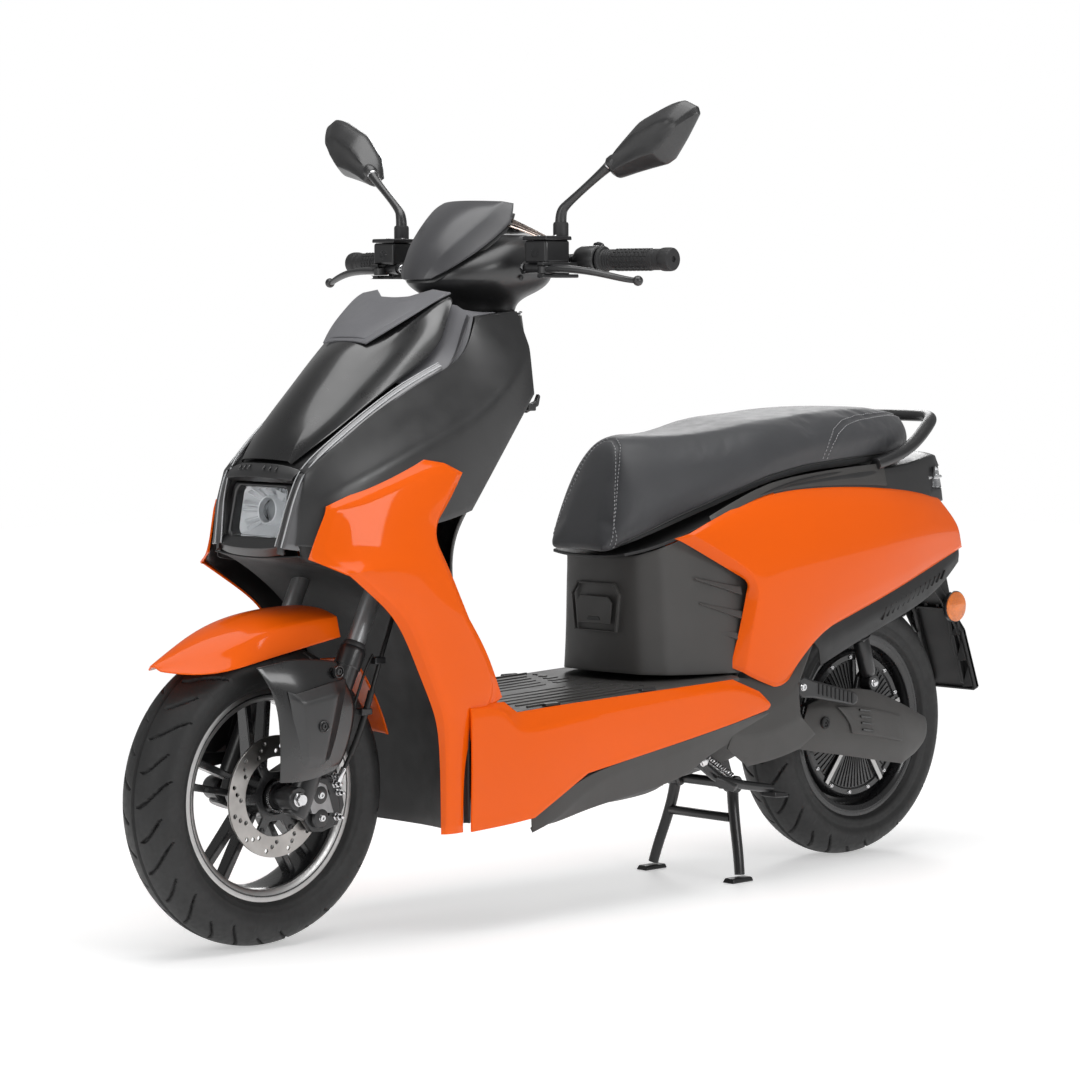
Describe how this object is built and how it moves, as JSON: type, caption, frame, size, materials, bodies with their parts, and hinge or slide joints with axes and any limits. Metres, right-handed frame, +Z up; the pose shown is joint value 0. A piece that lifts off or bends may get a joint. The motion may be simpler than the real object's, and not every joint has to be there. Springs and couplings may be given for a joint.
{
  "type": "moped scooter",
  "caption": "Step-through electric moped scooter with steering, suspension, spinning wheels, opening seat, stands and folding footrests.",
  "frame": {"origin": "on the ground, under the middle of the machine's overall length and width", "axes": "+X forwards, +Y to the rider's left, +Z up"},
  "size_m": [1.969, 0.882, 1.318],
  "materials": {
    "orange_paint": "gloss",
    "black_gloss": "gloss",
    "black_satin": "satin",
    "grey_plastic": "grained",
    "trim_grey": "satin",
    "seat_leather": "grained",
    "tyre_rubber": "matt",
    "grip_rubber": "matt",
    "wheel_alloy": "gloss black with machined edge",
    "machined_alloy": "machined",
    "frame_steel": "satin",
    "disc_steel": "brushed",
    "chrome_steel": "polished",
    "clear_lens": "clear",
    "red_lens": "clear",
    "battery_case": "matt",
    "hose_rubber": "satin"
  },
  "bodies": {
    "chassis": {"main_frame": "frame_steel", "steering_bearings": "chrome_steel", "front_cowl": "black_satin", "nose_hood": "black_gloss", "nose_cap": "trim_grey", "headlight_housing": "black_satin", "front_lenses": "clear_lens", "apron_left": "orange_paint", "apron_right": "orange_paint", "sill_panels": "orange_paint", "leg_shield": "grey_plastic", "footboard": "grey_plastic", "belly_pan": "grey_plastic", "seat_pillar": "grey_plastic", "rear_panel_left": "orange_paint", "rear_panel_right": "orange_paint", "tail_cover": "grey_plastic", "tail_light": "red_lens", "grab_rail": "black_satin", "rear_mudguard": "grey_plastic", "battery": "battery_case", "controller": "machined_alloy", "storage_bin": "grey_plastic"},
    "steering": {"fork_crown": "chrome_steel", "handlebar": "frame_steel", "handlebar_cover": "black_satin", "flyscreen": "trim_grey", "left_grip": "grip_rubber", "control_housings": "black_satin", "mirror_stems": "black_satin"},
    "fork_slider": {"fork_legs": "frame_steel", "front_fender": "orange_paint", "fork_covers": "grey_plastic", "front_caliper": "machined_alloy", "front_axle": "disc_steel", "brake_hose": "hose_rubber"},
    "front_wheel": {"front_rim": "wheel_alloy", "front_tyre": "tyre_rubber", "front_disc": "disc_steel"},
    "throttle": {"throttle_grip": "grip_rubber"},
    "left_lever": {"lever_left": "black_satin"},
    "right_lever": {"lever_right": "black_satin"},
    "left_mirror": {"mirror_left": "black_satin"},
    "right_mirror": {"mirror_right": "black_satin"},
    "horn": {"horn_button": "grip_rubber"},
    "starter": {"start_button": "grip_rubber"},
    "seat": {"seat_base": "grey_plastic", "seat_cushion": "seat_leather"},
    "flap": {"charge_flap": "grey_plastic"},
    "knob": {"ignition_knob": "black_satin"},
    "swingarm": {"swingarm": "frame_steel", "swingarm_cover": "grey_plastic"},
    "rear_wheel": {"hub_motor": "wheel_alloy", "rear_tyre": "tyre_rubber"},
    "shock_upper": {"shock_rods": "frame_steel"},
    "shock_lower": {"shock_bodies": "frame_steel"},
    "side_stand": {"side_stand": "frame_steel"},
    "centre_stand": {"centre_stand": "frame_steel"},
    "left_peg": {"pillion_peg_left": "frame_steel"},
    "right_peg": {"pillion_peg_right": "frame_steel"}
  },
  "joints": [
    {"name": "steering_turn", "type": "hinge", "parent": "chassis", "child": "steering", "pos_m": [0.43791, 0, 0.775], "axis": [-0.4384, 0, 0.8988], "range_deg": [-35, 35]},
    {"name": "fork_travel", "type": "slide", "parent": "steering", "child": "fork_slider", "axis": [-0.4384, 0, 0.8988], "range_m": [0, 0.06], "stiffness_N_per_m": 12000, "springref_m": -0.08},
    {"name": "front_wheel_spin", "type": "hinge", "parent": "fork_slider", "child": "front_wheel", "pos_m": [0.751, 0, 0.238], "axis": [0, 1, 0], "continuous": true},
    {"name": "throttle_turn", "type": "hinge", "parent": "steering", "child": "throttle", "pos_m": [0.224, -0.236, 1.068], "axis": [-0.1024, -0.9947, 0], "range_deg": [0, 70], "stiffness_Nm_per_rad": 0.6, "springref_deg": -22.92},
    {"name": "left_lever_pull", "type": "hinge", "parent": "steering", "child": "left_lever", "pos_m": [0.31, 0.196, 1.052], "axis": [0, 0, 1], "range_deg": [0, 12], "stiffness_Nm_per_rad": 4, "springref_deg": -11.46},
    {"name": "right_lever_pull", "type": "hinge", "parent": "steering", "child": "right_lever", "pos_m": [0.31, -0.196, 1.052], "axis": [0, 0, -1], "range_deg": [0, 12], "stiffness_Nm_per_rad": 4, "springref_deg": -11.46},
    {"name": "left_mirror_swivel", "type": "hinge", "parent": "steering", "child": "left_mirror", "pos_m": [0.252, 0.283, 1.217], "axis": [0, 0, 1], "range_deg": [-10, 10]},
    {"name": "right_mirror_swivel", "type": "hinge", "parent": "steering", "child": "right_mirror", "pos_m": [0.252, -0.283, 1.217], "axis": [0, 0, 1], "range_deg": [-10, 10]},
    {"name": "horn_press", "type": "slide", "parent": "steering", "child": "horn", "axis": [0.4512, 0, -0.8924], "range_m": [0, 0.003], "stiffness_N_per_m": 500, "springref_m": -0.002},
    {"name": "start_press", "type": "slide", "parent": "steering", "child": "starter", "axis": [0.4512, 0, -0.8924], "range_m": [0, 0.003], "stiffness_N_per_m": 500, "springref_m": -0.002},
    {"name": "seat_open", "type": "hinge", "parent": "chassis", "child": "seat", "pos_m": [0.016, 0, 0.569], "axis": [0, 1, 0], "range_deg": [0, 70]},
    {"name": "flap_open", "type": "hinge", "parent": "chassis", "child": "flap", "pos_m": [0.005, 0, 0.506], "axis": [0, -1, 0], "range_deg": [0, 100]},
    {"name": "knob_turn", "type": "hinge", "parent": "chassis", "child": "knob", "pos_m": [0.172, -0.034, 0.89], "axis": [-1, 0, 0], "range_deg": [0, 60]},
    {"name": "swing", "type": "hinge", "parent": "chassis", "child": "swingarm", "pos_m": [-0.34, 0, 0.25], "axis": [0, 1, 0], "range_deg": [0, 9], "stiffness_Nm_per_rad": 2200, "springref_deg": -8.59},
    {"name": "rear_wheel_spin", "type": "hinge", "parent": "swingarm", "child": "rear_wheel", "pos_m": [-0.631, 0, 0.238], "axis": [0, 1, 0], "continuous": true},
    {"name": "shock_pivot", "type": "hinge", "parent": "chassis", "child": "shock_upper", "pos_m": [-0.53, 0, 0.52], "axis": [0, 1, 0], "range_deg": [-0.532, 0]},
    {"name": "shock_slide", "type": "slide", "parent": "shock_upper", "child": "shock_lower", "axis": [0.3119, 0, 0.9501], "range_m": [0, 0.04238]},
    {"name": "side_stand_fold", "type": "hinge", "parent": "chassis", "child": "side_stand", "pos_m": [-0.112, 0.134, 0.226], "axis": [0, -1, 0], "range_deg": [0, 80]},
    {"name": "centre_stand_fold", "type": "hinge", "parent": "chassis", "child": "centre_stand", "pos_m": [-0.27, 0, 0.165], "axis": [0, 1, 0], "range_deg": [0, 82]},
    {"name": "left_peg_fold", "type": "hinge", "parent": "chassis", "child": "left_peg", "pos_m": [-0.352, 0.15, 0.335], "axis": [0, 0, -1], "range_deg": [0, 80]},
    {"name": "right_peg_fold", "type": "hinge", "parent": "chassis", "child": "right_peg", "pos_m": [-0.352, -0.15, 0.335], "axis": [0, 0, 1], "range_deg": [0, 80]}
  ],
  "couplings": [
    {"joint": "shock_pivot", "follows": "swing", "ratio": -0.057941},
    {"joint": "shock_slide", "follows": "swing", "m_per_rad": 0.26448}
  ]
}
